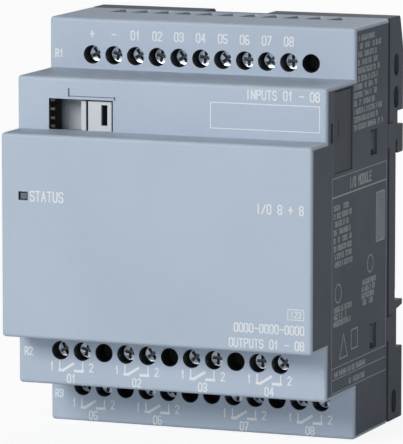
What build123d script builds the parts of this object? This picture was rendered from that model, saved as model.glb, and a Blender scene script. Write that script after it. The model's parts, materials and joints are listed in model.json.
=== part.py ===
from build123d import *
import os

# A four-unit rail-mounted input and output module with screw terminals, as separate pieces.
# Millimetres. x runs along the rail, +y points back to the rail and +z is up. The origin is the
# centre of the seat that rests on the front of a 35 mm rail.

# The case: four 17.5 mm rail units wide, with a stepped front that narrows to the 45 mm nose.
width, height = 71.5, 90.0
half_width, half_height = width / 2, height / 2
nose_half, shoulder_half = 22.3, 33.8
nose_front, shoulder_front, terminal_front = -55.2, -46.0, -28.0
seam_y, rear_y = -5.5, 4.8
skin, side_wall, rim = 1.4, 1.6, 0.8
floor_front = seam_y - side_wall
inner_half = half_width - side_wall
edge_radius, rim_radius = 0.8, 0.7
clearance = 0.1
lens_frame_x, lens_frame_z = (-31.7, -29.5), (7.8, 9.7)

# The side walls: a step near the seam, snap pockets, tabs over the seam and a pry slot.
step_depth, step_front, step_chamfer = 0.5, -6.6, 0.25
seam_gap_rear, seam_gap_depth = -4.2, 0.6
base_half = half_width - step_depth
pocket_y, pocket_length, pocket_depth = (-18.1, -13.9), 5.5, 0.45
pocket_bottoms, pocket_ramp = (16.2, -26.5), 1.2
pocket_top_line, pocket_top_depth, pocket_hole = 0.45, 1.2, 1.1
tab_rear, tab_clearance, tab_spans = -2.3, 0.1, ((16.4, 21.7), (-26.5, -21.3))
pry_slot_y, pry_slot_z = (-43.6, -42.3), (21.7, 26.0)
post_radius = 1.6

# The seat, the hook and the lips that meet the 35 mm rail, and the shape of the base behind the seam.
seat_step, seat_top, seat_bottom = 0.1, 14.5, -15.9
hook_front, hook_slot_top, hook_top, notch_top = 1.1, 17.6, 20.9, 24.0
lip_top, lip_bottom, lower_block_top = -18.5, -20.3, -29.0
lip_length, lip_thickness, lip_overlap, ledge_rear = 7.0, 1.2, 0.2, 1.0
lean_start, lean_y, lean_radius, hook_radius = 37.5, 2.6, 1.0, 0.5
hollow_start, hollow_front, hollow_rear, lean_hollow_rear = 12.0, -2.2, 3.2, 1.5
side_slots = ((34.3, 5.0, 0.15), (27.1, 4.9, 0.15), (-40.9, 5.3, -0.4))
side_slot_width, side_slot_depth = 3.1, 2.5

# Terminal rows: screw access holes at one pitch, with the wires entering from above or below.
pitch = 5.115
hole_radius = 2.05
screw_head_depth, screw_head_radius, screw_head_height = 3.0, 1.9, 1.6
screw_shank_radius, shank_bore_radius = 1.25, 1.45
cage_width, cage_depth, cage_length = 4.4, 7.8, 7.0
cage_front_wall, cage_rear_wall, cage_window_width = 1.0, 0.8, 3.4
cage_travel, cage_clearance = 1.7, 0.1
slot_width, slot_length, cross_slot_length, slot_depth = 0.75, 4.4, 2.9, 0.8
head_chamfer, tip_chamfer, screw_tip_gap, turn_step = 0.25, 0.3, 0.2, 47
bar_offset, bar_thickness, bar_width, bar_clearance = 2.1, 0.8, 3.0, 0.05
bar_tip, bar_bend, bar_end = 0.3, 6.6, 27.0
entry_from_cage = 4.8
entry_wide, entry_narrow, entry_half_length = 2.0, 0.6, 3.2
mouth_width, mouth_length, mouth_depth, mouth_taper = 3.9, 5.6, 2.6, 9
wire_half_width, wire_half_length = 1.6, 2.1
block_wall, block_rear_wall, head_clearance = 1.5, 1.0, 0.2
board_face = -12.2
rows = {
    "x10": dict(first=-25.65, count=11, empty=(11,), front=terminal_front, z=36.95, out=1,
                entry=-10.3),
    "x11": dict(first=-25.85, count=11, empty=(3, 6, 9), front=shoulder_front, z=-26.15, out=-1,
                entry=-33.9),
    "x12": dict(first=-28.2, count=12, empty=(3, 6, 7, 10), front=terminal_front, z=-37.15, out=-1,
                entry=-10.3),
}

# The coupling to the neighbouring module, seen through the window and the side ports.
window_left, window_right, window_top = -28.4, -13.4, 29.1
window_skin, window_rim = 0.7, 0.5
port_front, port_rear, port_bottom, port_top = -41.3, -30.4, 21.3, 29.9
right_port_inset = 0.4
cover_front, cover_rear, cover_bottom, cover_top = -41.4, -29.9, 14.75, 32.65
cover_thickness, cover_sink, cover_top_gap = 1.0, 0.2, 0.3
cover_tab_y, cover_tab_front, cover_tab_height = (-38.2, -33.0), 31.5, 0.8
cover_groove_y, cover_groove_z, cover_groove_depth = (-38.4, -38.1), (22.4, 26.4), 0.2
plug_front, plug_rear, plug_bottom, plug_top = -40.7, -30.6, 21.5, 29.7
plug_left, plug_right, plug_cavity = -34.2, -27.6, 5.0
plug_cavity_y, plug_cavity_z, plug_chamfer = (-39.3, -32.0), (23.0, 28.2), 0.4
contact_y, contact_z, contact_radius = (-38.0, -35.65, -33.3), (24.6, 26.6), 0.35
pin_inset, pin_chamfer = 0.6, 0.15
pad_x, pad_z, pad_height, pad_thickness = (-30.05, -29.2), (22.4, 24.2, 26.15, 28.1), 0.55, 0.35

# The pale slide in the window: a deep tray next to the plug, a rib, and a panel with the tool slot.
slide_z, carrier_x, carrier_z, carrier_rear = (21.9, 28.7), (-27.6, -26.0), (22.5, 28.6), -31.0
tray_y, rib_x, rib_front = (-40.6, -39.2), (-21.2, -20.1), -45.0
panel_x, panel_front, panel_root = (-19.5, -14.05), -45.2, -42.5
tool_slot_x, tool_slot_z = (-16.45, -15.0), (23.5, 28.0)
guide_spans, guide_x, guide_rear = ((20.9, 21.8), (29.4, 30.4)), (-27.4, -12.0), -39.4

# The socket behind the right port, with the plain block and the nose that reaches into the port.
socket_x, socket_nose_x, socket_end = (27.5, 30.7), (30.7, 34.4), 26.4
socket_y, socket_z = (-40.8, -30.5), (21.1, 30.1)
socket_nose_y, socket_nose_z = (-39.1, -32.2), (23.2, 28.0)
sleeve_radius, sleeve_bore, sleeve_front, sleeve_bore_start = 0.6, 0.42, 34.1, 29.0

# The two mounting slides at the back, in matching channels.
slide_x, slide_width, slide_clearance = -1.1, 14.2, 0.3
slide_front, slide_rear, slide_end, slide_root = 1.4, 4.6, 43.5, 24.6
slide_flange, slide_flange_end, channel_floor, channel_groove = 1.2, 33.0, -4.0, 2.2
slide_hole_z, slide_hole_radius = 40.0, 2.25
groove_front, groove_end, flange_thickness = channel_floor + 0.3, 42.3, 1.7
grip_start, grip_pitch, grip_width, grip_depth = 31.6, 1.2, 0.5, 0.4
grip_count, grip_inset = 5, 1.5
tool_hole_z, tool_hole_half, tool_hole_depth = (28.0, 30.2), 3.0, 1.4
jaw_top, jaw_chamfer = -16.1, 1.6

# Boards and what they carry.
board_thickness = 1.6
logic_rear = -45.4
logic_front = logic_rear - board_thickness
board_half, board_radius, logic_z, relay_z = 33.0, 1.5, (-18.0, 20.0), (-30.5, 30.5)
logic_posts, relay_posts = ((-24.0, 24.0), (-14.0, 16.0)), ((-30.0, 30.0), (-24.0, 26.0))
header_x, header_z, header_pins, header_pitch = 18.0, 15.0, 8, 2.54
header_half, header_height, header_pin_radius = (10.2, 2.5), 2.5, 0.32
relay_pitch, relay_half, relay_depth, relay_radius = 16.3, (7.6, 5.1), 14.8, 0.7
relay_rows = (("relays_upper", 3.0), ("relays_lower", -9.5))
relay_count = 4
lens_x, lens_z, lens_y = (-31.35, -29.85), (8.1, 9.4), (nose_front + 0.35, -48.9)
lens_flange_x, lens_flange_z, lens_flange_rear = (-31.9, -29.3), (7.55, 9.95), -53.0
led_x, led_z, led_front = (-31.4, -29.8), (8.0, 9.5), -48.6
chip_x, chip_z, chip_height, chip_chamfer = (-1.0, 11.0), (-6.0, 6.0), 1.4, 0.3
capacitor_at, capacitor_radius, capacitor_height, capacitor_fillet = (-20.0, 20.0), 5.0, 16.0, 0.6
inductor_at, inductor_height = (-3.0, 20.0), 9.0
inductor_flange_radius, inductor_core_radius, inductor_flange = 6.0, 4.2, 1.5

os.makedirs("parts", exist_ok=True)


def save(name, builder):
    builder.part.label = name
    export_step(builder.part, f"parts/{name}.step")


def block(x, y, z, mode=Mode.ADD):
    """A box between pairs of limits along each axis, added to the open part."""
    centre = tuple((low + high) / 2 for low, high in (x, y, z))
    size = [high - low for low, high in (x, y, z)]
    with Locations(centre):
        Box(*size, mode=mode)


def rod(x, z, radius, y, mode=Mode.ADD):
    """A round bar or hole along y between two limits."""
    with Locations(Plane(origin=(x, y[0], z), z_dir=(0, 1, 0))):
        Cylinder(radius, y[1] - y[0], align=(Align.CENTER, Align.CENTER, Align.MIN), mode=mode)


def cross_rod(y, z, radius, x, mode=Mode.ADD):
    """A round bar or hole along x between two limits."""
    with Locations(Plane(origin=(x[0], y, z), z_dir=(1, 0, 0))):
        Cylinder(radius, x[1] - x[0], align=(Align.CENTER, Align.CENTER, Align.MIN), mode=mode)


def stepped_outline(inset, rear=seam_y):
    """The case's side outline as (y, z) corners, moved inwards by inset all round the front."""
    tops = [half_height - inset, shoulder_half - inset, nose_half - inset]
    fronts = [terminal_front + inset, shoulder_front + inset, nose_front + inset]
    upper = [(rear, tops[0])]
    for front, top, below in zip(fronts, tops, tops[1:] + [None]):
        upper.append((front, top))
        if below is not None:
            upper.append((front, below))
    return upper + [(y, -z) for y, z in reversed(upper)]


def positions(row, used_only=False):
    """The x of each terminal in a row, with its number from 1."""
    numbers = range(1, row["count"] + 1)
    wanted = [n for n in numbers if not (used_only and n in row["empty"])]
    return [(n, row["first"] + (n - 1) * pitch) for n in wanted]


def outer_face(row):
    """The z of the case's outside where a row's wires go in."""
    return row["out"] * (half_height if row["front"] == terminal_front else shoulder_half)


def span(a, b):
    return min(a, b), max(a, b)


# Front cover: one stepped skin over the front, top and bottom.
with BuildPart() as front_cover:
    with BuildSketch(Plane.YZ.offset(-half_width)):
        with BuildLine():
            Polyline(*stepped_outline(0), close=True)
        make_face()
    extrude(amount=width)
    corners = front_cover.edges().filter_by(Axis.X)
    outward = [e for e in corners
               if (round(e.center().Y, 2), round(abs(e.center().Z), 2)) in
               [(terminal_front, half_height), (shoulder_front, shoulder_half),
                (nose_front, nose_half)]]
    fillet(outward, radius=edge_radius)
    ends = front_cover.edges().group_by(Axis.X)
    rims = [e for e in ends[0] + ends[-1] if e.center().Y < seam_y - 0.01]
    fillet(rims, radius=rim_radius)
    with BuildSketch(Plane.YZ.offset(-inner_half)):
        with BuildLine():
            Polyline(*stepped_outline(skin, seam_y + 1), close=True)
        make_face()
    extrude(amount=2 * inner_half, mode=Mode.SUBTRACT)
    for start in (-half_width, inner_half):
        with BuildSketch(Plane.YZ.offset(start)):
            with BuildLine():
                Polyline(*stepped_outline(rim, seam_y + 1), close=True)
            make_face()
        extrude(amount=side_wall, mode=Mode.SUBTRACT)
    for row in rows.values():
        for _, x in positions(row):
            rod(x, row["z"], hole_radius, (row["front"] - 1, row["front"] + skin + 1), Mode.SUBTRACT)
        # Wire entries narrow towards the back, where the cage's own wall guides the wire.
        with BuildSketch(Plane.XY.offset(outer_face(row) - row["out"] * (skin + 0.5))):
            with Locations(*[(x, row["entry"]) for _, x in positions(row)]):
                Polygon((-entry_wide, -entry_half_length), (entry_wide, -entry_half_length),
                        (entry_narrow, entry_half_length), (-entry_narrow, entry_half_length), align=None)
        extrude(amount=row["out"] * (skin + 1), mode=Mode.SUBTRACT)
    # The window shows the coupling slide, the small square one the status light.
    block((window_left, window_right), (shoulder_front - 1, shoulder_front + skin),
          (nose_half, window_top), Mode.SUBTRACT)
    # The skin is thinner round the window, where the slide comes up close behind it.
    block((window_left - window_rim, window_right + window_rim),
          (shoulder_front + window_skin, shoulder_front + skin + 1),
          (slide_z[0] - clearance, window_top + window_rim), Mode.SUBTRACT)
    block(lens_frame_x, (nose_front - 1, nose_front + skin + 1), lens_frame_z, Mode.SUBTRACT)
    # Guides above and below the coupling slide, and four posts for the logic board.
    for guide in guide_spans:
        block(guide_x, (shoulder_front + window_skin, guide_rear), guide)
    for x in logic_posts[0]:
        for z in logic_posts[1]:
            rod(x, z, post_radius, (nose_front + skin, logic_front))
    for side in (-1, 1):
        block(span(side * base_half, side * (half_width + 1)), (step_front, seam_y + 1),
              (-half_height - 1, half_height + 1), Mode.SUBTRACT)
save("front_cover", front_cover)

# Side housing: both side walls and the floor behind the boards.
with BuildPart() as side_housing:
    for start in (-half_width, inner_half):
        with BuildSketch(Plane.YZ.offset(start)):
            with BuildLine():
                Polyline(*stepped_outline(rim), close=True)
            make_face()
        extrude(amount=side_wall)
    block((-inner_half, inner_half), (floor_front, seam_y), (skin - half_height, half_height - skin))
    for x in relay_posts[0]:
        for z in relay_posts[1]:
            rod(x, z, post_radius, (board_face + board_thickness, floor_front))
    # The plug comes out on the left; on the right the port lies in the recess of its cover.
    block((-half_width - 1, -inner_half), (port_front, port_rear), (port_bottom, port_top), Mode.SUBTRACT)
    block((half_width - cover_thickness, half_width + 1), (cover_front, cover_rear),
          (cover_bottom, cover_top), Mode.SUBTRACT)
    block((inner_half, half_width + 1), (port_front + right_port_inset, port_rear),
          (port_bottom, port_top), Mode.SUBTRACT)
    block((inner_half, half_width + 1), pry_slot_y, pry_slot_z, Mode.SUBTRACT)
    for side in (-1, 1):
        block(span(side * base_half, side * (half_width + 1)), (step_front, seam_y + 1),
              (-half_height - 1, half_height + 1), Mode.SUBTRACT)
        # Shallow pockets, each with a deep line along its top and a hole through its foot.
        for bottom in pocket_bottoms:
            top = bottom + pocket_length
            deep_y = (pocket_y[0], pocket_y[1] - pocket_ramp)
            for depth, y, z in ((pocket_depth, pocket_y, (bottom, top)),
                                (pocket_top_depth, deep_y, (top - pocket_top_line, top)),
                                (side_wall, deep_y, (bottom, bottom + pocket_hole))):
                block(span(side * (half_width - depth), side * (half_width + 1)), y, z, Mode.SUBTRACT)
    wall_ends = side_housing.edges().filter_by(Axis.Z).filter_by(
        lambda e: abs(e.center().Y - step_front) < 0.01 and abs(e.center().X) > base_half + 0.1)
    chamfer(wall_ends, length=step_chamfer)
    # Snap tabs lap over the seam into the rear base.
    for side in (-1, 1):
        for tab in tab_spans:
            block(span(side * inner_half, side * half_width), (step_front, tab_rear), tab)
save("side_housing", side_housing)

# Rear base: rail seat, hook and the channels of the two mounting slides.
with BuildPart() as rear_base:
    whole = (-base_half, base_half)
    block(whole, (seam_y, -seat_step), (-half_height, half_height))
    block(whole, (-seat_step, 0.0), (seat_bottom, seat_top))
    block(whole, (-seat_step, rear_y), (hook_top, half_height))
    block(whole, (hook_front, rear_y + 1), (hook_top, notch_top), Mode.SUBTRACT)
    block(whole, (-seat_step, rear_y), (hook_slot_top, hook_top))
    block(whole, (hook_front, rear_y), (seat_top + seat_step, hook_slot_top))
    block(whole, (-seat_step, ledge_rear), (lower_block_top, lip_bottom))
    block(whole, (-seat_step, rear_y), (-half_height, lower_block_top))
    for side in (-1, 1):
        with BuildSketch(Plane.YZ.offset(side * base_half)):
            with BuildLine():
                Polyline((-seat_step, lip_top), (rear_y, lip_top), (rear_y, lip_top - lip_thickness),
                         (-seat_step, lip_bottom - lip_overlap), close=True)
            make_face()
        extrude(amount=-side * lip_length)
    # The back leans forward towards the top.
    with BuildSketch(Plane.YZ.offset(-base_half)):
        with BuildLine():
            Polyline((rear_y, lean_start), (lean_y, half_height), (lean_y, half_height + 1),
                     (rear_y + 1, half_height + 1), (rear_y + 1, lean_start), close=True)
        make_face()
    extrude(amount=2 * base_half, mode=Mode.SUBTRACT)
    top_rear = rear_base.edges().filter_by(Axis.X).filter_by(
        lambda e: abs(e.center().Y - lean_y) < 0.01 and abs(e.center().Z - half_height) < 0.01)
    fillet(top_rear, radius=lean_radius)
    hook_rear = rear_base.edges().filter_by(Axis.X).filter_by(
        lambda e: abs(e.center().Y - rear_y) < 0.01 and seat_top - 1 < e.center().Z < notch_top)
    fillet(hook_rear, radius=hook_radius)
    # Hollow from the front, closed there by the side housing's floor.
    inner_top = half_height - skin
    for side in (-1, 1):
        room = span(side * hollow_start, side * inner_half)
        for y, z in (((seam_y - 1, hollow_front), (-inner_top, inner_top)),
                     ((hollow_front - 1, hollow_rear), (notch_top + skin, lean_start)),
                     ((hollow_front - 1, lean_hollow_rear), (lean_start - 1, inner_top)),
                     ((hollow_front - 1, hollow_rear), (-inner_top, lower_block_top - skin))):
            block(room, y, z, Mode.SUBTRACT)
        # Slots and tab notches in the side faces.
        for middle, length, y in side_slots:
            with BuildSketch(Plane.YZ.offset(side * half_width)):
                with Locations((y, middle)):
                    SlotOverall(length, side_slot_width, rotation=90)
            extrude(amount=-side * (step_depth + side_slot_depth), mode=Mode.SUBTRACT)
        for low, high in tab_spans:
            block(span(side * inner_half, side * (half_width + 1)), (seam_y - 1, tab_rear + tab_clearance),
                  (low - tab_clearance, high + tab_clearance), Mode.SUBTRACT)
        # A narrow gap along the seam.
        block(span(side * (base_half - seam_gap_depth), side * (half_width + 1)),
              (seam_y - 1, seam_gap_rear), (-half_height - 1, half_height + 1), Mode.SUBTRACT)
    block((-hollow_start + 1, hollow_start - 1), (seam_y - 1, hollow_front), (-21.0, 21.0), Mode.SUBTRACT)
    # One channel upwards and one downwards, each with grooves for the slide's flanges.
    narrow = slide_width / 2 + slide_clearance
    for side in (-1, 1):
        block((slide_x - narrow, slide_x + narrow), (channel_floor, rear_y + 1),
              span(side * (slide_root - slide_clearance), side * (half_height + 1)), Mode.SUBTRACT)
        block((slide_x - narrow - slide_flange, slide_x + narrow + slide_flange),
              (channel_floor, channel_floor + channel_groove),
              span(side * (slide_root - slide_clearance), side * groove_end), Mode.SUBTRACT)
save("rear_base", rear_base)


# The two mounting slides: each has a screw hole, and the lower one a jaw for the rail.
def mounting_slide(side):
    """Adds the plate, its flanged root and its screw hole to the open part."""
    plate = (slide_x - slide_width / 2, slide_x + slide_width / 2)
    flange = (plate[0] - slide_flange, plate[1] + slide_flange)
    block(plate, (slide_front, slide_rear), span(side * slide_root, side * slide_end))
    block(plate, (groove_front, slide_rear), span(side * slide_root, side * slide_flange_end))
    block(flange, (groove_front, groove_front + flange_thickness),
          span(side * slide_root, side * slide_flange_end))
    rod(slide_x, side * slide_hole_z, slide_hole_radius, (slide_front - 1, slide_rear + 1),
        Mode.SUBTRACT)
    block((slide_x - tool_hole_half, slide_x + tool_hole_half),
          (slide_rear - tool_hole_depth, slide_rear + 1),
          span(side * tool_hole_z[0], side * tool_hole_z[1]), Mode.SUBTRACT)
    for step in range(grip_count):
        low = grip_start + step * grip_pitch
        block((plate[0] + grip_inset, plate[1] - grip_inset), (slide_rear - grip_depth, slide_rear + 1),
              span(side * low, side * (low + grip_width)), Mode.SUBTRACT)


with BuildPart() as wall_slide:
    mounting_slide(1)
save("wall_slide", wall_slide)

with BuildPart() as din_latch:
    mounting_slide(-1)
    block((slide_x - slide_width / 2, slide_x + slide_width / 2), (slide_front, slide_rear),
          (-slide_root, jaw_top))
    jaw_edge = din_latch.edges().filter_by(Axis.X).sort_by(Axis.Z)[-2:].sort_by(Axis.Y)[-1:]
    chamfer(jaw_edge, length=jaw_chamfer)
save("din_latch", din_latch)

# Connector cover over the right port, with two springy tabs.
with BuildPart() as connector_cover:
    cover_face = half_width - cover_sink
    block((half_width - cover_thickness, cover_face), (cover_front + clearance, cover_rear - clearance),
          (cover_bottom + clearance, cover_top - cover_top_gap))
    for low in (port_bottom + clearance, port_top - clearance - cover_tab_height):
        block((cover_tab_front, half_width - cover_thickness), cover_tab_y, (low, low + cover_tab_height))
    block((cover_face - cover_groove_depth, half_width + 1), cover_groove_y, cover_groove_z, Mode.SUBTRACT)
save("connector_cover", connector_cover)

# Coupling slide, plug and contacts: they move together into the neighbour.
with BuildPart() as coupling_slide:
    block((plug_right, rib_x[1]), tray_y, slide_z)
    block(carrier_x, (plug_front, carrier_rear), carrier_z)
    block(rib_x, (rib_front, tray_y[1]), slide_z)
    block((rib_x[1], panel_x[1]), (panel_root, tray_y[1]), slide_z)
    block(panel_x, (panel_front, tray_y[1]), slide_z)
    block(tool_slot_x, (panel_front - 1, tray_y[1] + 1), tool_slot_z, Mode.SUBTRACT)
save("coupling_slide", coupling_slide)

with BuildPart() as bus_plug:
    block((plug_left, plug_right), (plug_front, plug_rear), (plug_bottom, plug_top))
    leading = bus_plug.faces().sort_by(Axis.X)[0].edges()
    chamfer(leading, length=plug_chamfer)
    block((plug_left - 1, plug_left + plug_cavity), plug_cavity_y, plug_cavity_z, Mode.SUBTRACT)
    for y in contact_y:
        for z in contact_z:
            cross_rod(y, z, contact_radius, (plug_left, plug_right), Mode.SUBTRACT)
save("bus_plug", bus_plug)

with BuildPart() as bus_pins:
    for y in contact_y:
        for z in contact_z:
            cross_rod(y, z, contact_radius, (plug_left + pin_inset, plug_right))
    chamfer(bus_pins.faces().filter_by(Axis.X).group_by(Axis.X)[0].edges(), length=pin_chamfer)
    for z in pad_z:
        block(pad_x, (plug_front - pad_thickness, plug_front), (z - pad_height / 2, z + pad_height / 2))
save("bus_pins", bus_pins)

# Bus socket behind the right port.
with BuildPart() as bus_socket:
    block(socket_x, socket_y, socket_z)
    block(socket_nose_x, socket_nose_y, socket_nose_z)
    for y in contact_y:
        for z in contact_z:
            cross_rod(y, z, sleeve_radius, (socket_x[0] - 1, socket_nose_x[1] + 1), Mode.SUBTRACT)
save("bus_socket", bus_socket)

with BuildPart() as bus_socket_contacts:
    for y in contact_y:
        for z in contact_z:
            cross_rod(y, z, sleeve_radius, (socket_end, sleeve_front))
            cross_rod(y, z, sleeve_bore, (sleeve_bore_start, sleeve_front + 1), Mode.SUBTRACT)
save("bus_socket_contacts", bus_socket_contacts)


# Terminals: a block, cages, contact bars and screws for each row.
def cage_front(row):
    return row["entry"] - entry_from_cage


def cage_span(row):
    return row["z"] - cage_length / 2, row["z"] + cage_length / 2


def terminal_block(row):
    xs = [x for _, x in positions(row)]
    outer = outer_face(row) - row["out"] * skin
    inner = row["z"] - row["out"] * (cage_length / 2 + block_wall)
    rear = floor_front if row["front"] == terminal_front else cage_front(row) + cage_depth + block_rear_wall
    front = row["front"] + skin
    block((xs[0] - pitch / 2, xs[-1] + pitch / 2), (front, rear), span(inner, outer))
    y0 = cage_front(row)
    low, high = cage_span(row)
    for _, x in positions(row):
        rod(x, row["z"], hole_radius,
            (front, row["front"] + screw_head_depth + screw_head_height + head_clearance), Mode.SUBTRACT)
    with BuildSketch(Plane.XY.offset(outer)) as mouths:
        with Locations(*[(x, row["entry"]) for x in xs]):
            Rectangle(mouth_width, mouth_length)
    extrude(mouths.sketch, amount=-row["out"] * mouth_depth, taper=mouth_taper, mode=Mode.SUBTRACT)
    for _, x in positions(row, used_only=True):
        rod(x, row["z"], shank_bore_radius, (front, y0), Mode.SUBTRACT)
        half = cage_width / 2 + cage_clearance
        block((x - half, x + half), (y0 - cage_travel, y0 + cage_depth + cage_clearance),
              (low - cage_clearance, high + cage_clearance), Mode.SUBTRACT)
        block((x - wire_half_width, x + wire_half_width),
              (row["entry"] - wire_half_length, row["entry"] + wire_half_length),
              span(row["z"], outer), Mode.SUBTRACT)
        half = bar_width / 2 + bar_clearance
        block((x - half, x + half),
              (y0 + bar_offset - bar_clearance, y0 + bar_offset + bar_thickness + bar_clearance),
              span(row["z"], inner - row["out"]), Mode.SUBTRACT)


def cages(row):
    y0 = cage_front(row)
    low, high = cage_span(row)
    for _, x in positions(row, used_only=True):
        block((x - cage_width / 2, x + cage_width / 2), (y0, y0 + cage_depth), (low, high))
        block((x - cage_window_width / 2, x + cage_window_width / 2),
              (y0 + cage_front_wall, y0 + cage_depth - cage_rear_wall), (low - 1, high + 1), Mode.SUBTRACT)
        rod(x, row["z"], screw_shank_radius + bar_clearance, (y0 - 1, y0 + 2 * cage_front_wall), Mode.SUBTRACT)


def contact_bars(row):
    y0 = cage_front(row) + bar_offset
    outer = row["z"] + row["out"] * (cage_length / 2 - bar_tip)
    for _, x in positions(row, used_only=True):
        side = (x - bar_width / 2, x + bar_width / 2)
        if row["front"] == terminal_front:
            block(side, (y0, y0 + bar_thickness), span(outer, row["out"] * bar_end))
        else:
            # The front row's bars turn back over their block to the relay board.
            bend = row["z"] - row["out"] * bar_bend
            block(side, (y0, y0 + bar_thickness), span(outer, bend))
            block(side, (y0, board_face), span(bend, bend + row["out"] * bar_thickness))


def terminal_screw(row, number, x):
    """A captive screw with a slot and a shorter cross slot, turned a little differently each time."""
    face = row["front"] + screw_head_depth
    under = face + screw_head_height
    tip = cage_front(row) + bar_offset - screw_tip_gap
    rod(x, row["z"], screw_head_radius, (face, under))
    top_edge = edges().filter_by(GeomType.CIRCLE).sort_by(Axis.Y)[0]
    chamfer(top_edge, length=head_chamfer)
    rod(x, row["z"], screw_shank_radius, (under, tip))
    end_edge = edges().filter_by(GeomType.CIRCLE).sort_by(Axis.Y)[-1]
    chamfer(end_edge, length=tip_chamfer)
    turn = number * turn_step % 90 - 20
    with BuildSketch(Plane.XZ.offset(-face)) as slots:
        with Locations((x, row["z"])):
            Rectangle(slot_length, slot_width, rotation=turn)
            Rectangle(slot_width, cross_slot_length, rotation=turn)
    extrude(slots.sketch, amount=-slot_depth, mode=Mode.SUBTRACT)


for row_name, row in rows.items():
    with BuildPart() as terminal_block_part:
        terminal_block(row)
    save(f"terminal_block_{row_name}", terminal_block_part)
    with BuildPart() as cage_part:
        cages(row)
    save(f"terminal_cages_{row_name}", cage_part)
    with BuildPart() as bar_part:
        contact_bars(row)
    save(f"contact_bars_{row_name}", bar_part)
    for number, x in positions(row, used_only=True):
        with BuildPart() as screw_part:
            terminal_screw(row, number, x)
        save(f"screw_{row_name}_{number:02d}", screw_part)

# Status light.
with BuildPart() as light_pipe:
    block(lens_x, lens_y, lens_z)
    block(lens_flange_x, (nose_front + skin, lens_flange_rear), lens_flange_z)
save("light_pipe", light_pipe)

with BuildPart() as status_led:
    block(led_x, (led_front, logic_front), led_z)
save("status_led", status_led)

# Boards.
with BuildPart() as logic_board:
    block((-board_half, board_half), (logic_front, logic_rear), logic_z)
    fillet(logic_board.edges().filter_by(Axis.Y), radius=board_radius)
save("logic_board", logic_board)

with BuildPart() as relay_board:
    block((-board_half, board_half), (board_face, board_face + board_thickness), relay_z)
    fillet(relay_board.edges().filter_by(Axis.Y), radius=board_radius)
save("relay_board", relay_board)

with BuildPart() as board_header:
    for front in (logic_rear, board_face - header_height):
        block((header_x - header_half[0], header_x + header_half[0]), (front, front + header_height),
              (header_z - header_half[1], header_z + header_half[1]))
    for column in range(header_pins):
        for z in (header_z - header_pitch / 2, header_z + header_pitch / 2):
            x = header_x + (column - (header_pins - 1) / 2) * header_pitch
            rod(x, z, header_pin_radius, (logic_rear, board_face))
save("board_header", board_header)

# Relays in two rows of four.
for relay_name, z in relay_rows:
    with BuildPart() as relay_part:
        for column in range(relay_count):
            x = (column - (relay_count - 1) / 2) * relay_pitch
            block((x - relay_half[0], x + relay_half[0]), (board_face - relay_depth, board_face),
                  (z - relay_half[1], z + relay_half[1]))
        fillet(edges().filter_by(Axis.Y), radius=relay_radius)
    save(relay_name, relay_part)

# Main parts on the boards.
with BuildPart() as microcontroller:
    block(chip_x, (logic_front - chip_height, logic_front), chip_z)
    chamfer(microcontroller.faces().sort_by(Axis.Y)[0].edges(), length=chip_chamfer)
save("microcontroller", microcontroller)

with BuildPart() as buffer_capacitor:
    rod(*capacitor_at, capacitor_radius, (board_face - capacitor_height, board_face))
    ends = buffer_capacitor.edges().filter_by(GeomType.CIRCLE)
    fillet(ends, radius=capacitor_fillet)
save("buffer_capacitor", buffer_capacitor)

with BuildPart() as power_inductor:
    top = board_face - inductor_height
    rod(*inductor_at, inductor_core_radius, (top, board_face))
    for front in (top, board_face - inductor_flange):
        rod(*inductor_at, inductor_flange_radius, (front, front + inductor_flange))
save("power_inductor", power_inductor)
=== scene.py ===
import json

import bpy
import numpy as np
from mathutils import Matrix, Vector


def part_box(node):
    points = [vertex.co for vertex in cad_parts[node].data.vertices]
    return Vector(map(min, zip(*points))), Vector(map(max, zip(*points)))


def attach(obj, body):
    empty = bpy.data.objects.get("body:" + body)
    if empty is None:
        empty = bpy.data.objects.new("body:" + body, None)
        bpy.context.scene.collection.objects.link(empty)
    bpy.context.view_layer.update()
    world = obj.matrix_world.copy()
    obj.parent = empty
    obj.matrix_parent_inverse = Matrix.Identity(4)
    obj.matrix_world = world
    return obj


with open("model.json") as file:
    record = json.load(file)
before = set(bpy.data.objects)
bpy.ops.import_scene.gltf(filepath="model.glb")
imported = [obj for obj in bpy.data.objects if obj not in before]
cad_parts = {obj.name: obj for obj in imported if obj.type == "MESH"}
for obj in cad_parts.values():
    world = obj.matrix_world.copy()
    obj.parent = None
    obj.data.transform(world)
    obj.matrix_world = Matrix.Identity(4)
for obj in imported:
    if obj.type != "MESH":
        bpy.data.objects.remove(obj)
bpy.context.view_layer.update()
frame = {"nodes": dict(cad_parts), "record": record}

mm = 0.001
nodes = frame["nodes"]
scene = bpy.context.scene


def low(node, axis):
    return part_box(node)[0]["xyz".index(axis)]


def high(node, axis):
    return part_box(node)[1]["xyz".index(axis)]


def middle(node, axis):
    return (low(node, axis) + high(node, axis)) / 2


skin = 1.4 * mm                # wall of the front cover
boreRadius = 2.05 * mm
window = (-28.4 * mm, -13.4 * mm, 22.3 * mm, 29.1 * mm)    # left, right, bottom and top
lightFrame = (-31.7 * mm, -29.5 * mm, 7.8 * mm, 9.7 * mm)
noseFront = low("front_cover", "y")
shoulderFront = low("terminal_block_x11", "y") - skin
terminalFront = low("terminal_block_x10", "y") - skin
rightFace = high("side_housing", "x")
floorLevel = low("front_cover", "z")


def readRow(name, front):
    # a row of screws: the face it opens on, its heads, its first screw, its pitch and the ends of its block
    first, second, block = f"screw_{name}_01", f"screw_{name}_02", f"terminal_block_{name}"
    return {"front": front, "head": low(first, "y"), "x": middle(first, "x"), "z": middle(first, "z"),
            "pitch": middle(second, "x") - middle(first, "x"), "ends": (low(block, "x"), high(block, "x"))}


rows = {"x10": readRow("x10", terminalFront), "x11": readRow("x11", shoulderFront),
        "x12": readRow("x12", terminalFront)}
print("places read", noseFront, shoulderFront, terminalFront)


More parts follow.
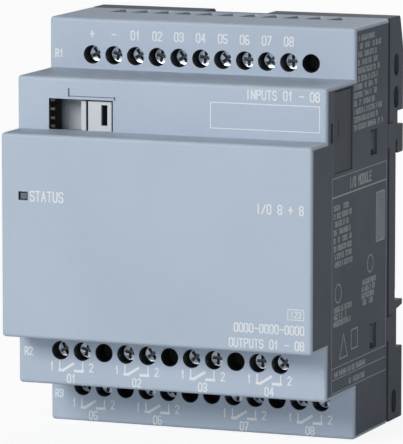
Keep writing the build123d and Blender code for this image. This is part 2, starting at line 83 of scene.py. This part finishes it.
class Wire:
    # one output socket of a node tree; + - * and ** add Math nodes
    def __init__(self, finish, socket):
        self.finish = finish
        self.socket = socket

    def maths(self, operation, first, second):
        return self.finish.node("ShaderNodeMath", {"operation": operation}, {0: first, 1: second})

    def __add__(self, other):
        return self.maths("ADD", self, other)

    def __radd__(self, other):
        return self.maths("ADD", other, self)

    def __sub__(self, other):
        return self.maths("SUBTRACT", self, other)

    def __rsub__(self, other):
        return self.maths("SUBTRACT", other, self)

    def __mul__(self, other):
        return self.maths("MULTIPLY", self, other)

    def __rmul__(self, other):
        return self.maths("MULTIPLY", other, self)

    def __pow__(self, other):
        return self.maths("POWER", self, other)

    def __rpow__(self, other):
        return self.maths("POWER", other, self)


class Finish:
    # one material with its Principled shader
    def __init__(self, name, **fixed):
        self.material = bpy.data.materials.new(name)
        self.material.use_nodes = True
        self.tree = self.material.node_tree
        self.shader = self.tree.nodes["Principled BSDF"]
        for socket, value in fixed.items():
            self.shader.inputs[socket.replace("_", " ")].default_value = value
        self.coords = self.node("ShaderNodeTexCoord", output="Object")

    def fill(self, socket, value):
        if isinstance(value, Wire):
            self.tree.links.new(value.socket, socket)
        else:
            socket.default_value = value

    def node(self, kind, settings=None, inputs=None, output=0):
        made = self.tree.nodes.new(kind)
        for key, value in (settings or {}).items():
            setattr(made, key, value)
        for key, value in (inputs or {}).items():
            self.fill(made.inputs[key], value)
        return Wire(self, made.outputs[output])

    def axis(self, name):
        return self.node("ShaderNodeSeparateXYZ", {}, {0: self.coords}, output=name.upper())

    def stretched(self, size):
        return self.node("ShaderNodeMapping", {}, {"Vector": self.coords, "Scale": size})

    def noise(self, scale, detail=2.0, roughness=0.5, coords=None):
        return self.node("ShaderNodeTexNoise", {}, {"Vector": coords or self.coords, "Scale": scale,
                                                   "Detail": detail, "Roughness": roughness})

    def range(self, value, fromLow, fromHigh, toLow, toHigh):
        return self.node("ShaderNodeMapRange", {}, {"Value": value, "From Min": fromLow,
                         "From Max": fromHigh, "To Min": toLow, "To Max": toHigh})

    def within(self, value, start, end):
        # 1 from start to end and 0 elsewhere
        return self.node("ShaderNodeMath", {"operation": "COMPARE"},
                         {0: value, 1: (start + end) / 2, 2: (end - start) / 2})

    def wrapped(self, value, pitch):
        # how far it is from the nearest of the places 0, P, 2P and so on
        return self.node("ShaderNodeMath", {"operation": "WRAP"}, {0: value, 1: pitch / 2, 2: -pitch / 2})

    def mix(self, factor, first, second):
        made = self.tree.nodes.new("ShaderNodeMix")
        made.data_type = "RGBA"
        self.fill(made.inputs[0], factor)
        self.fill(made.inputs[6], first if isinstance(first, Wire) else (*first, 1))
        self.fill(made.inputs[7], second if isinstance(second, Wire) else (*second, 1))
        return Wire(self, made.outputs[2])

    def bump(self, height, distance, strength=1.0):
        inputs = {"Height": height, "Distance": distance, "Strength": strength}
        return self.node("ShaderNodeBump", {}, inputs, output="Normal")

    def set(self, **values):
        for socket, value in values.items():
            self.fill(self.shader.inputs[socket.replace("_", " ")], value)
        return self.material


def scaled(colour, factor):
    return tuple(channel * factor for channel in colour)


def squareFromScrew(finish, row):
    # u u + v v, with u across from the nearest screw of the row and v up from it
    u = finish.wrapped(finish.axis("x") - row["x"], row["pitch"])
    v = finish.axis("z") - row["z"]
    return u * u + v * v


cutShadeLook = {"margin": 0.1 * mm, "start": 0.15 * mm}


def cutWallShade(finish):
    # a mask of the walls cut through the skin, where shade is painted: the screw bores, where r < R, the
    # window and the light's frame
    margin, start = cutShadeLook["margin"], cutShadeLook["start"]
    x, y, z = (finish.axis(name) for name in "xyz")
    mask = 0
    for row in rows.values():
        bore = finish.within(squareFromScrew(finish, row) ** 0.5, 0, boreRadius + margin)
        depth = finish.within(y, row["front"] + start, row["front"] + skin)
        mask = bore * finish.within(x, *row["ends"]) * depth + mask
    for (left, right, bottom, top), front in ((window, shoulderFront), (lightFrame, noseFront)):
        inside = finish.within(x, left - margin, right + margin)
        inside = inside * finish.within(z, bottom + margin, top + margin)
        mask = inside * finish.within(y, front + start, front + skin) + mask
    return mask


plasticLooks = {
    "caseFront": {"colour": (0.515, 0.605, 0.720), "vary": 0.035, "rough": 0.52, "grain": 0.05, "depth": 0.45,
                  # the colour of the painted shade on the walls cut through the front skin
                  "cutWallShade": (0.03, 0.034, 0.04)},
    "caseSide": {"colour": (0.092, 0.113, 0.145), "vary": 0.06, "rough": 0.50, "grain": 0.05, "depth": 0.5},
    "coverPlastic": {"colour": (0.064, 0.078, 0.1), "vary": 0.06, "rough": 0.50, "grain": 0.05, "depth": 0.5},
    "caseRear": {"colour": (0.082, 0.101, 0.13), "vary": 0.06, "rough": 0.48, "grain": 0.05, "depth": 0.5},
    "slideDark": {"colour": (0.07, 0.077, 0.09), "vary": 0.06, "rough": 0.42, "grain": 0.03, "depth": 0.4},
    "terminalPlastic": {"colour": (0.012, 0.01, 0.009), "vary": 0.08, "rough": 0.55, "grain": 0.03,
                        "depth": 0.3},
    "blackPlastic": {"colour": (0.018, 0.018, 0.02), "vary": 0.08, "rough": 0.45, "grain": 0.03,
                     "depth": 0.3},
    "relayCase": {"colour": (0.62, 0.62, 0.58), "vary": 0.03, "rough": 0.3, "grain": 0.02, "depth": 0.2},
}
mouldTexture = {"cloud": 38, "speckle": 2600, "grain": 3400, "pits": 7800, "handling": 95}


def mouldedPlastic(name, look):
    # eroded mould: grain and pits in the bump, cloud and speckle in the colour, handling marks in the gloss,
    # and painted shade on the cut walls where the look gives its colour
    finish = Finish(name, IOR=1.5)
    cloud = finish.noise(mouldTexture["cloud"], 3)
    speckle = finish.noise(mouldTexture["speckle"], 2, 0.6)
    grain = finish.noise(mouldTexture["grain"], 3, 0.6)
    pits = finish.noise(mouldTexture["pits"], 2)
    handling = finish.noise(mouldTexture["handling"], 4, 0.65)
    tone = finish.range(cloud * 0.6 + speckle * 0.4, 0.35, 0.65, 0, 1)
    darker, paler = (scaled(look["colour"], 1 + side * look["vary"]) for side in (-1, 1))
    colour = finish.mix(tone, darker, paler)
    # painted shade: the walls of the bores, the window and the light's frame are darkened
    if "cutWallShade" in look:
        colour = finish.mix(cutWallShade(finish), colour, look["cutWallShade"])
    roughness = finish.range(handling + speckle * 0.3, 0.45, 0.85, look["rough"] - 0.05, look["rough"] + 0.05)
    normal = finish.bump(grain * 0.7 + pits * 0.3, look["grain"] * mm, look["depth"])
    return finish.set(Base_Color=colour, Roughness=roughness, Normal=normal)


metalLooks = {
    "platedSteel": {"colour": (0.62, 0.61, 0.57), "metal": 1.0, "tarnish": 0.75, "rough": 0.38,
                    "grain": 0.02},
    "tinnedBrass": {"colour": (0.66, 0.62, 0.52), "metal": 1.0, "tarnish": 0.8, "rough": 0.34, "grain": 0.02},
    "gold": {"colour": (0.88, 0.74, 0.46), "metal": 0.35, "tarnish": 0.85, "rough": 0.35, "grain": 0.01},
    "capacitorCan": {"colour": (0.30, 0.31, 0.33), "metal": 1.0, "tarnish": 0.8, "rough": 0.35,
                     "grain": 0.02},
}


def platedMetal(name, look):
    # plated: faint streaks in the bump and broad clouds of tarnish, which are duller too
    finish = Finish(name, Metallic=look["metal"])
    streaks = finish.noise(700, 2, 0.5, finish.stretched((1.0, 0.2, 5.0)))
    cloud = finish.noise(330, 3)
    dull = finish.range(cloud, 0.42, 0.66, 0, 1)
    colour = finish.mix(dull, look["colour"], scaled(look["colour"], look["tarnish"]))
    roughness = finish.range(cloud + streaks * 0.3, 0.45, 0.85, look["rough"] - 0.05, look["rough"] + 0.08)
    normal = finish.bump(streaks, look["grain"] * mm, 0.15)
    return finish.set(Base_Color=colour, Roughness=roughness, Normal=normal)


screwLook = {
    "colour": (0.60, 0.66, 0.74), "tarnish": 0.70, "rough": 0.20, "dishRadius": 7.0 * mm,
    "slot": (0.10, 0.11, 0.13), "slotReach": 1.62 * mm, "slotFrom": 0.12 * mm, "slotTo": 0.9 * mm,
    "ringRate": 14000.0, "ringHeight": 0.0006 * mm,
}


def screwMetal(name, row, look):
    # nickel heads, slightly dished: with r from the nearest screw's axis the height is r r / 2D, plus the
    # fine turning rings h sin(k r); the walls and floors of the slots are in shade
    finish = Finish(name, Metallic=1.0)
    square = squareFromScrew(finish, row)
    rings = finish.node("ShaderNodeMath", {"operation": "SINE"}, {0: (square ** 0.5) * look["ringRate"]})
    cloud = finish.noise(260, 3)
    stain = finish.range(cloud, 0.45, 0.68, 0, 1)
    colour = finish.mix(stain, look["colour"], scaled(look["colour"], look["tarnish"]))
    depth = finish.within(finish.axis("y"), row["head"] + look["slotFrom"], row["head"] + look["slotTo"])
    colour = finish.mix(depth * finish.within(square, 0, look["slotReach"] ** 2), colour, look["slot"])
    roughness = finish.range(cloud, 0.3, 0.75, look["rough"] - 0.04, look["rough"] + 0.10)
    height = square * (0.5 / look["dishRadius"]) + rings * look["ringHeight"]
    return finish.set(Base_Color=colour, Roughness=roughness, Normal=finish.bump(height, 1.0))


trayLook = {"colour": (0.72, 0.75, 0.78), "worn": (0.10, 0.11, 0.14), "shade": (0.06, 0.07, 0.09),
            "trayDepth": (2.5 * mm, 4.0 * mm), "grooveDepth": (0.3 * mm, 0.7 * mm),
            "panelWidth": (6.3 * mm, 6.2 * mm), "grain": 0.03 * mm}


def trayPlastic(look):
    # the pale slide, with painted shade in its tray: darker the deeper and the nearer to the plug; the walls
    # of the tool slot and of the groove beside the rib get painted shade too
    finish = Finish("slideTray", IOR=1.5)
    x, y = finish.axis("x"), finish.axis("y")
    left, right, front = low("coupling_slide", "x"), high("coupling_slide", "x"), low("coupling_slide", "y")
    deep = finish.range(y, *(front + depth for depth in look["trayDepth"]), 0, 1)
    near = finish.range(x, left, left + (right - left) * 0.45, 1, 0.1)
    streak = finish.noise(420, 3, 0.6, finish.stretched((1.0, 1.0, 0.15)))
    # painted shade: darker deeper in the tray and nearer the plug, broken by streaks
    deepShadeAmount = deep * near * (streak * 0.4 + 0.8)
    behind = finish.range(y, *(front + depth for depth in look["grooveDepth"]), 0, 1)
    shade = behind * finish.range(x, *(right - width for width in look["panelWidth"]), 0, 1)
    colour = finish.mix(shade, finish.mix(deepShadeAmount, look["colour"], look["worn"]), look["shade"])
    normal = finish.bump(finish.noise(3000, 2), look["grain"], 0.3)
    return finish.set(Base_Color=colour, Roughness=streak * 0.2 + 0.35, Normal=normal)


boardLook = {"mask": (0.010, 0.085, 0.040), "track": (0.022, 0.150, 0.070), "cells": 420.0, "rise": 0.03 * mm}


def solderMask(look):
    # green mask over copper fill, with the tracks as a faint raised net
    finish = Finish("board", IOR=1.5)
    edge = finish.node("ShaderNodeTexVoronoi", {"feature": "DISTANCE_TO_EDGE"},
                       {"Vector": finish.coords, "Scale": look["cells"]})
    tracks = finish.range(edge, 0.04, 0.08, 1, 0)
    return finish.set(Base_Color=finish.mix(tracks, look["mask"], look["track"]),
                      Roughness=finish.noise(300) * 0.2 + 0.2, Normal=finish.bump(tracks, look["rise"], 0.6))


ferriteLook = {"dark": (0.030, 0.030, 0.032), "pale": (0.060, 0.060, 0.064), "grit": 0.04 * mm}


def ferriteCore(look):
    finish = Finish("ferrite")
    grit = finish.noise(1800, 4, 0.7)
    return finish.set(Base_Color=finish.mix(grit, look["dark"], look["pale"]), Roughness=grit * 0.3 + 0.4,
                      Normal=finish.bump(grit, look["grit"], 0.6))


lensLooks = {
    "lightPipe": {"colour": (0.16, 0.18, 0.21), "rough": 0.25, "face": low("light_pipe", "y")},
    "led": {"colour": (0.7, 0.7, 0.62), "rough": 0.2, "face": high("status_led", "y")},
}
lensShade = {"colour": (0.015, 0.017, 0.02), "from": 0.15 * mm, "to": 8.0 * mm}


def clearLens(name, look):
    # a milky core, in shade where it goes down behind its face
    finish = Finish(name, IOR=1.49)
    cloud = finish.noise(700, 2)
    sunk = finish.within(finish.axis("y"), look["face"] + lensShade["from"], look["face"] + lensShade["to"])
    milky = finish.mix(cloud, scaled(look["colour"], 0.9), scaled(look["colour"], 1.1))
    return finish.set(Base_Color=finish.mix(sunk, milky, lensShade["colour"]),
                      Roughness=cloud * 0.1 + look["rough"])


inkColours = {"inkWhite": (0.92, 0.96, 1.0), "inkGrey": (0.52, 0.56, 0.60), "paintedGrooveShade": (0.09, 0.11, 0.14)}


def printInk(name, colour):
    # pad-printed ink, and the painted shade of the moulded travel groove: slight unevenness in tone and gloss
    finish = Finish(name, IOR=1.45)
    patch = finish.noise(1500, 3, 0.6)
    tone = finish.range(patch, 0.3, 0.7, 0, 1)
    return finish.set(Base_Color=finish.mix(tone, scaled(colour, 0.93), colour),
                      Roughness=patch * 0.15 + 0.45)


finishes = {name: mouldedPlastic(name, look) for name, look in plasticLooks.items()}
finishes.update({name: platedMetal(name, look) for name, look in metalLooks.items()})
for name, row in rows.items():
    finishes[f"screwNickel_{name}"] = screwMetal(f"screwNickel_{name}", row, screwLook)
finishes["slideTray"] = trayPlastic(trayLook)
finishes["board"] = solderMask(boardLook)
finishes["ferrite"] = ferriteCore(ferriteLook)
finishes.update({name: clearLens(name, look) for name, look in lensLooks.items()})
finishes.update({name: printInk(name, colour) for name, colour in inkColours.items()})
print("finishes made", len(finishes))

# each of the record's slots takes one finish; the screws take their row's, and the cover has its own
slotFinish = {
    "case_front": "caseFront", "case_side": "caseSide", "case_rear": "caseRear", "slide_dark": "slideDark",
    "slide_white": "slideTray", "terminal_plastic": "terminalPlastic", "black_plastic": "blackPlastic",
    "plated_steel": "platedSteel", "tinned_brass": "tinnedBrass", "gold": "gold",
    "light_pipe": "lightPipe", "led": "led", "board": "board", "relay_case": "relayCase",
    "capacitor_can": "capacitorCan", "ferrite": "ferrite",
}
nodeFinish = {"connector_cover": "coverPlastic"}
for part in frame["record"]["subparts"]:
    node, slot = part["node"], part["material_slot"]
    if slot == "screw_nickel":
        chosen = "screwNickel_" + node.split("_")[1]
    else:
        chosen = nodeFinish.get(node, slotFinish[slot])
    mesh = nodes[node].data
    mesh.materials.clear()
    mesh.materials.append(finishes[chosen])


def onFront(level):
    # flat drawing (across, up, out) on a face that looks towards -y
    return lambda flat: np.stack([flat[:, 0], level - flat[:, 2], flat[:, 1]], axis=1)


def onRight(level):
    # flat drawing on the wall that looks towards +x, where across runs to the back
    return lambda flat: np.stack([level + flat[:, 2], flat[:, 0], flat[:, 1]], axis=1)


inkDepth = {"sunk": -0.01 * mm, "proud": 0.015 * mm, "stagger": 0.002 * mm, "steps": 16}
barFaces = np.array([[0, 3, 2, 1], [4, 5, 6, 7], [0, 1, 5, 4], [1, 2, 6, 5], [2, 3, 7, 6], [3, 0, 4, 7]])


def strokes(segments, thickness):
    # a segment from p to q becomes a bar with the corners p - h(a + s), q + h(a - s), q + h(a + s) and
    # p - h(a - s), where a is its direction, s = a turned by 90 degrees and h half the thickness; it is
    # copied at two ink levels, the upper one lifted by (k mod n) d for bar k, so crossing bars share no face
    ends = np.asarray(segments, float).reshape(-1, 2, 2)
    half = np.broadcast_to(np.asarray(thickness, float), len(ends))[:, None] / 2
    along = ends[:, 1] - ends[:, 0]
    along /= np.linalg.norm(along, axis=1, keepdims=True)
    side = np.stack([-along[:, 1], along[:, 0]], axis=1)
    a, b = ends[:, 0] - along * half, ends[:, 1] + along * half
    ring = np.stack([a - side * half, b - side * half, b + side * half, a + side * half], axis=1)
    lift = np.arange(len(ends)) % inkDepth["steps"] * inkDepth["stagger"]
    levels = [np.broadcast_to(level, len(ends)) for level in (inkDepth["sunk"], inkDepth["proud"] + lift)]
    points = np.concatenate([np.concatenate([ring, np.repeat(level[:, None, None], 4, axis=1)], axis=2)
                             for level in levels], axis=1).reshape(-1, 3)
    faces = (barFaces[None] + 8 * np.arange(len(ends))[:, None, None]).reshape(-1, 4)
    return points, faces


# a plain stroke alphabet: every pair of digits is a point on a grid four wide and six high
glyphs = {
    "0": "10 30 41 45 36 16 05 01 10", "1": "14 26 20", "2": "05 16 36 45 44 00 40", "4": "30 36 02 42",
    "3": "05 16 36 45 44 33 13|33 42 41 30 10 01", "5": "46 06 03 33 42 41 30 10 01", "7": "06 46 10",
    "6": "36 16 05 01 10 30 41 42 33 03", "8": "13 04 05 16 36 45 44 33 13 02 01 10 30 41 42 33",
    "9": "10 30 41 45 36 16 05 04 13 43", "+": "21 25|03 43", "-": "03 43", "/": "00 46",
    "A": "00 26 40|12 32", "D": "00 06 26 45 41 20 00", "E": "46 06 00 40|03 33", "I": "20 26",
    "L": "06 00 40", "M": "00 06 23 46 40", "N": "00 06 40 46", "O": "10 30 41 45 36 16 05 01 10",
    "P": "00 06 36 45 44 33 03", "R": "00 06 36 45 44 33 03|23 40", "T": "06 46|26 20",
    "S": "01 10 30 41 42 33 13 04 05 16 36 45", "U": "06 01 10 30 41 46",
}


def glyphSegments(character):
    grid = [np.array([[int(digit) for digit in pair] for pair in line.split()], float)
            for line in glyphs[character].split("|")]
    return np.concatenate([np.stack([line[:-1], line[1:]], axis=1) for line in grid])


def wordSegments(text, x, z, height, side="CENTER", advance=0.64):
    # grid point (i, j) of letter k lands at x + k A + i w, z + j h / 6, with A the advance and w = A / 6
    cell = np.array([advance * height / 6, height / 6])
    length = len(text) * advance * height - 2 * cell[0]
    start = x - {"LEFT": 0, "CENTER": length / 2, "RIGHT": length}[side]
    letters = [glyphSegments(character) * cell + np.array([start + k * advance * height, z])
               for k, character in enumerate(text) if character != " "]
    return np.concatenate(letters).reshape(-1, 4)


def outline(corners):
    # the sides of a closed shape, each from one corner to the next
    return [(*here, *there) for here, there in zip(corners, corners[1:] + corners[:1])]


def rectangle(x0, x1, z0, z1):
    return outline([(x0, z0), (x1, z0), (x1, z1), (x0, z1)])


def circle(x, z, radius, count=28):
    # corners at x + r cos t, z + r sin t
    turn = np.linspace(0, 2 * np.pi, count + 1)
    ring = np.stack([x + radius * np.cos(turn), z + radius * np.sin(turn)], axis=1)
    return np.concatenate([ring[:-1], ring[1:]], axis=1)


def hatch(x0, x1, z0, z1, count):
    # the lines u + v = c over a field W by H, from (max(c - H, 0), min(c, H)) to (min(c, W), max(c - W, 0))
    wide, tall = x1 - x0, z1 - z0
    c = np.linspace(0, wide + tall, count + 2)[1:-1]
    start = np.stack([x0 + np.maximum(c - tall, 0), z0 + np.minimum(c, tall)], axis=1)
    end = np.stack([x0 + np.minimum(c, wide), z0 + np.maximum(c - wide, 0)], axis=1)
    return np.concatenate([start, end], axis=1)


def addPrint(name, place, segments, thickness, ink, body="housing"):
    drawing = np.concatenate([np.asarray(part, float).reshape(-1, 4) for part in segments])
    points, faces = strokes(drawing, thickness)
    mesh = bpy.data.meshes.new(name)
    mesh.from_pydata(place(points).tolist(), [], faces.tolist())
    mesh.update()
    mesh.materials.append(finishes[ink])
    piece = bpy.data.objects.new(name, mesh)
    scene.collection.objects.link(piece)
    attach(piece, body)


# places on the front in millimetres across and up, sizes in metres
letterLine = 0.28 * mm
rowTitle = 1.6 * mm
topRow = {"title": ("R1", -33.5, 36.2), "labels": ["+", "-", "01", "02", "03", "04", "05", "06", "07", "08"],
          "labelsUp": 40.55, "letter": 1.9 * mm}


def printTopRow(look):
    text, x, z = look["title"]
    words = [wordSegments(text, x * mm, z * mm, rowTitle)]
    for number, label in enumerate(look["labels"], 1):
        centre = middle(f"screw_x10_{number:02d}", "x")
        words.append(wordSegments(label, centre, look["labelsUp"] * mm, look["letter"]))
    addPrint("print_top_row", onFront(terminalFront), words, letterLine, "inkWhite")


contactLook = {"digit": 1.75 * mm, "before": 2.0 * mm, "after": 2.1 * mm, "rise": 1.9 * mm, "thin": 0.28 * mm,
               "thick": 0.60 * mm, "overLeft": 0.2 * mm, "overRight": 0.1 * mm,
               "foot": 0.14, "tip": 0.58, "tipUp": 0.8, "seat": 0.68}
outputRows = {
    "x11": {"pairs": [(1, 2), (4, 5), (7, 8), (10, 11)], "first": 1, "title": ("R2", -33.4, -27.5),
            "symbol": -30.5, "digit": -30.5, "label": -33.1},
    "x12": {"pairs": [(1, 2), (4, 5), (8, 9), (11, 12)], "first": 5, "title": ("R3", -33.8, -39.8),
            "symbol": -41.9, "digit": -41.8, "label": -44.45},
}


def contactSymbol(left, right, z, look):
    # a contact between two terminals: two thin risers, two thick feet and the blade between them
    gap, rise = right - left, look["rise"]
    foot, tip, seat = left + gap * look["foot"], left + gap * look["tip"], left + gap * look["seat"]
    thin = [(left, z + rise, left, z), (right, z, right, z + rise)]
    thick = [(left, z, foot, z), (foot, z, tip, z + rise * look["tipUp"]), (seat, z, right, z)]
    return thin, thick


def printOutputRow(row, plan, look):
    text, x, z = plan["title"]
    words = [wordSegments(text, x * mm, z * mm, rowTitle)]
    digitUp, labelUp = plan["digit"] * mm, plan["label"] * mm
    thin, thick = [], []
    for number, (a, b) in enumerate(plan["pairs"], plan["first"]):
        left, right = middle(f"screw_{row}_{a:02d}", "x"), middle(f"screw_{row}_{b:02d}", "x")
        symbol = contactSymbol(left - look["overLeft"], right + look["overRight"], plan["symbol"] * mm, look)
        thin += symbol[0]
        thick += symbol[1]
        words.append(wordSegments("1", left - look["before"], digitUp, look["digit"]))
        words.append(wordSegments("2", right + look["after"], digitUp, look["digit"]))
        words.append(wordSegments(f"{number:02d}", (left + right) / 2, labelUp, look["digit"]))
    widths = [look["thin"]] * len(thin) + [look["thick"]] * len(thick)
    place = onFront(rows[row]["front"])
    addPrint(f"print_labels_{row}", place, words, letterLine, "inkWhite")
    addPrint(f"print_contacts_{row}", place, [thin, thick], widths, "inkWhite")


shoulderMarks = {
    "title": ("INPUTS 01 - 08", 34.0, 30.85), "letter": 1.9 * mm,
    "field": (9.2 * mm, 34.05 * mm, 24.25 * mm, 29.8 * mm), "fieldLine": 0.2 * mm,
    "travel": [(-23.7, 29.75, -23.7, 31.3), (-23.7, 29.75, -13.2, 29.75), (-13.0, 29.35, -13.0, 29.75)],
    "travelLine": [0.34 * mm, 0.14 * mm, 0.34 * mm],
}


def printShoulder(look):
    place = onFront(shoulderFront)
    text, x, z = look["title"]
    title = wordSegments(text, x * mm, z * mm, look["letter"], "RIGHT")
    addPrint("print_input_title", place, [title], letterLine, "inkWhite")
    addPrint("print_label_field", place, [rectangle(*look["field"])], look["fieldLine"], "inkWhite")
    # the travel mark is a moulded groove; its shade is painted as dark lines
    addPrint("travel_mark_groove_shade", place, [np.array(look["travel"]) * mm], look["travelLine"], "paintedGrooveShade")


# each word: text, place, height and the side that the place is on
noseMarks = {
    "words": [("STATUS", -28.9, 7.75, 2.1, "LEFT"), ("I/O 8 + 8", 33.8, 7.7, 1.9, "RIGHT"),
              ("0000-0000-0000", 34.0, -17.9, 1.8, "RIGHT"), ("OUTPUTS 01 - 08", 34.0, -21.2, 1.8, "RIGHT")],
    "version": ("123", 32.2 * mm, -14.3 * mm, 1.3 * mm),
    "versionFrame": (30.4 * mm, 34.0 * mm, -14.75 * mm, -12.55 * mm), "versionLine": 0.16 * mm,
}


def printNose(look):
    place = onFront(noseFront)
    words = [wordSegments(text, x * mm, z * mm, height * mm, side)
             for text, x, z, height, side in look["words"]]
    addPrint("print_nose_words", place, words, letterLine, "inkWhite")
    version = [wordSegments(*look["version"]), rectangle(*look["versionFrame"])]
    addPrint("print_nose_version", place, version, look["versionLine"], "inkWhite")


printTopRow(topRow)
for row, plan in outputRows.items():
    printOutputRow(row, plan, contactLook)
printShoulder(shoulderMarks)
printNose(noseMarks)
print("front marks printed")


# places on the right wall, in millimetres backwards and up
sideMarks = {
    "front": -42.6, "back": -7.6, "top": 13.9, "bar": 9.8, "lower": (-27.2, -29.7, -32.6), "foot": -32.6,
    "line": 0.15 * mm, "barLine": 0.3 * mm, "title": ("I/O MODULE", -31.5, 10.8), "titleHeight": 2.0 * mm,
    "titleAdvance": 0.72, "titleLine": 0.34 * mm, "letter": 1.05 * mm, "letterLine": 0.17 * mm, "seed": 11,
    # each block of small print: left, top, number of lines, pitch and longest line in letters
    "blocks": [(-26.5, 42.0, 6, 1.75, 23), (-29.0, 31.6, 6, 1.75, 28), (-41.6, 6.9, 8, 1.75, 19),
               (-41.4, -15.2, 3, 1.5, 18), (-23.6, -11.6, 4, 1.5, 17), (-41.8, -29.2, 1, 1.0, 44),
               (-31.5, -31.9, 1, 1.0, 16)],
    "spaces": 0.18, "shortest": 0.62,
    # plain outlines where type approvals would stand
    "circles": [(-38.6, -11.2, 2.0), (-18.0, -7.5, 1.9)], "square": (-30.2, -26.2, -24.6, -20.4),
    "triangle": [(-37.6, -25.6), (-32.6, -25.6), (-35.1, -20.6)], "shapeLine": 0.22 * mm,
    "code": (-14.2, -8.8, -3.2, 7.6), "codeLines": 20, "codeLine": 0.26 * mm,
}


def smallPrint(block, look, rng):
    # filler text: seeded digits in groups, each line a little shorter or longer than the last
    left, top, lines, pitch, longest = block
    found = []
    for line in range(lines):
        letters = rng.integers(0, 9, longest).astype(str)
        letters[rng.random(longest) < look["spaces"]] = " "
        length = int(longest * rng.uniform(look["shortest"], 1.0))
        up = top * mm - line * (pitch * mm)
        found.append(wordSegments("".join(letters[:length]) + "0", left * mm, up, look["letter"], "LEFT"))
    return found


def printSide(look):
    rng = np.random.default_rng(look["seed"])
    place = onRight(rightFace)
    front, back, top, bar = (look[name] * mm for name in ("front", "back", "top", "bar"))
    lines = [(front, top, back, top), (front, look["foot"] * mm, front, top),
             (back, look["lower"][0] * mm, back, top)]
    lines += [(front, z * mm, back, z * mm) for z in look["lower"]]
    addPrint("print_side_frame", place, [lines], look["line"], "inkGrey")
    addPrint("print_side_bar", place, [(front, bar, back, bar)], look["barLine"], "inkGrey")
    text, x, z = look["title"]
    title = wordSegments(text, x * mm, z * mm, look["titleHeight"], "LEFT", look["titleAdvance"])
    addPrint("print_side_title", place, [title], look["titleLine"], "inkGrey")
    words = [word for block in look["blocks"] for word in smallPrint(block, look, rng)]
    addPrint("print_side_text", place, words, look["letterLine"], "inkGrey")
    shapes = [circle(*(value * mm for value in shape)) for shape in look["circles"]]
    shapes.append(rectangle(*(value * mm for value in look["square"])))
    shapes.append(outline([(x * mm, z * mm) for x, z in look["triangle"]]))
    addPrint("print_side_shapes", place, shapes, look["shapeLine"], "inkGrey")
    code = [value * mm for value in look["code"]]
    addPrint("print_side_code", place, [rectangle(*code), hatch(*code, look["codeLines"])], look["codeLine"],
             "inkGrey")


printSide(sideMarks)
print("side marks printed")


floorLook = {"half": 3.0, "dim": (0.80, 0.81, 0.82), "pale": (0.84, 0.85, 0.86), "rough": 0.75,
             "glow": 1.15, "share": 0.75}


def addStage(look):
    # seen directly the floor is brightened, so it stays pale however softly the object is lit
    finish = Finish("stageFloor")
    finish.set(Base_Color=finish.mix(finish.noise(3, 3), look["dim"], look["pale"]), Roughness=look["rough"])
    glow = finish.node("ShaderNodeEmission", {}, {"Color": (1, 1, 1, 1), "Strength": look["glow"]})
    seen = finish.node("ShaderNodeLightPath", output="Is Camera Ray")
    surface = Wire(finish, finish.shader.outputs[0])
    blend = finish.node("ShaderNodeMixShader", {}, {0: seen * look["share"], 1: surface, 2: glow})
    finish.fill(finish.tree.nodes["Material Output"].inputs["Surface"], blend)
    half = look["half"]
    mesh = bpy.data.meshes.new("floor")
    mesh.from_pydata([(-half, -half, floorLevel), (half, -half, floorLevel), (half, half, floorLevel),
                      (-half, half, floorLevel)], [], [(0, 1, 2, 3)])
    mesh.materials.append(finish.material)
    floor = bpy.data.objects.new("floor", mesh)
    scene.collection.objects.link(floor)


worldLook = {"colour": (0.90, 0.95, 1.0), "fill": 0.06, "mirrored": 0.20}


def addWorld(look):
    # seen directly the room is white; mirror-like parts see a brighter room than the soft shadows do
    world = bpy.data.worlds.new("studio")
    world.use_nodes = True
    scene.world = world
    tree = world.node_tree

    def room(colour, strength):
        made = tree.nodes.new("ShaderNodeBackground")
        made.inputs["Color"].default_value = (*colour, 1)
        made.inputs["Strength"].default_value = strength
        return made.outputs[0]

    def blend(factor, first, second):
        made = tree.nodes.new("ShaderNodeMixShader")
        for socket, wire in zip(made.inputs, (factor, first, second)):
            tree.links.new(wire, socket)
        return made.outputs[0]

    path = tree.nodes.new("ShaderNodeLightPath").outputs
    soft, mirrored = room(look["colour"], look["fill"]), room(look["colour"], look["mirrored"])
    lit = blend(path["Is Glossy Ray"], soft, mirrored)
    shown = blend(path["Is Camera Ray"], lit, room((1, 1, 1), 1.0))
    tree.links.new(shown, tree.nodes["World Output"].inputs[0])


lamps = {
    "key": {"place": (-0.50, -1.15, 0.62), "size": (0.6, 0.5), "power": 9.9},
    "soft": {"place": (0.75, -1.05, 0.25), "size": (0.8, 0.8), "power": 3.0},
    "low": {"place": (-0.9, -0.95, 0.1), "size": (0.7, 0.7), "power": 0.9},
    "back": {"place": (0.2, 1.2, 0.80), "size": (1.2, 0.8), "power": 7.1},
}


def addLamp(name, look):
    # every lamp looks at the origin
    light = bpy.data.lights.new(name, "AREA")
    light.shape = "RECTANGLE"
    light.size, light.size_y = look["size"]
    light.energy = look["power"]
    lamp = bpy.data.objects.new(name, light)
    lamp.location = look["place"]
    lamp.rotation_euler = (-Vector(look["place"])).to_track_quat("-Z", "Y").to_euler()
    scene.collection.objects.link(lamp)


# a long lens, far away, to the right of the object and a little above it
cameraLook = {"place": (0.3917, -1.0289, 0.1511), "forward": (-0.36085, 0.92232, -0.13823),
              "up": (-0.05062, 0.12862, 0.9904), "lens": 402.162, "sensor": 36, "clip": (0.05, 20)}


def addCamera(look):
    camera = bpy.data.cameras.new("camera")
    camera.sensor_width = look["sensor"]
    camera.lens = look["lens"]
    camera.clip_start, camera.clip_end = look["clip"]
    forward = Vector(look["forward"]).normalized()
    side = forward.cross(Vector(look["up"])).normalized()
    turn = Matrix((side, side.cross(forward), -forward)).transposed().to_4x4()
    holder = bpy.data.objects.new("camera", camera)
    holder.matrix_world = Matrix.Translation(look["place"]) @ turn
    scene.collection.objects.link(holder)
    scene.camera = holder


addStage(floorLook)
addWorld(worldLook)
for name, look in lamps.items():
    addLamp(name, look)
addCamera(cameraLook)
scene.view_settings.view_transform = "Standard"
print("stage, lamps and camera set")
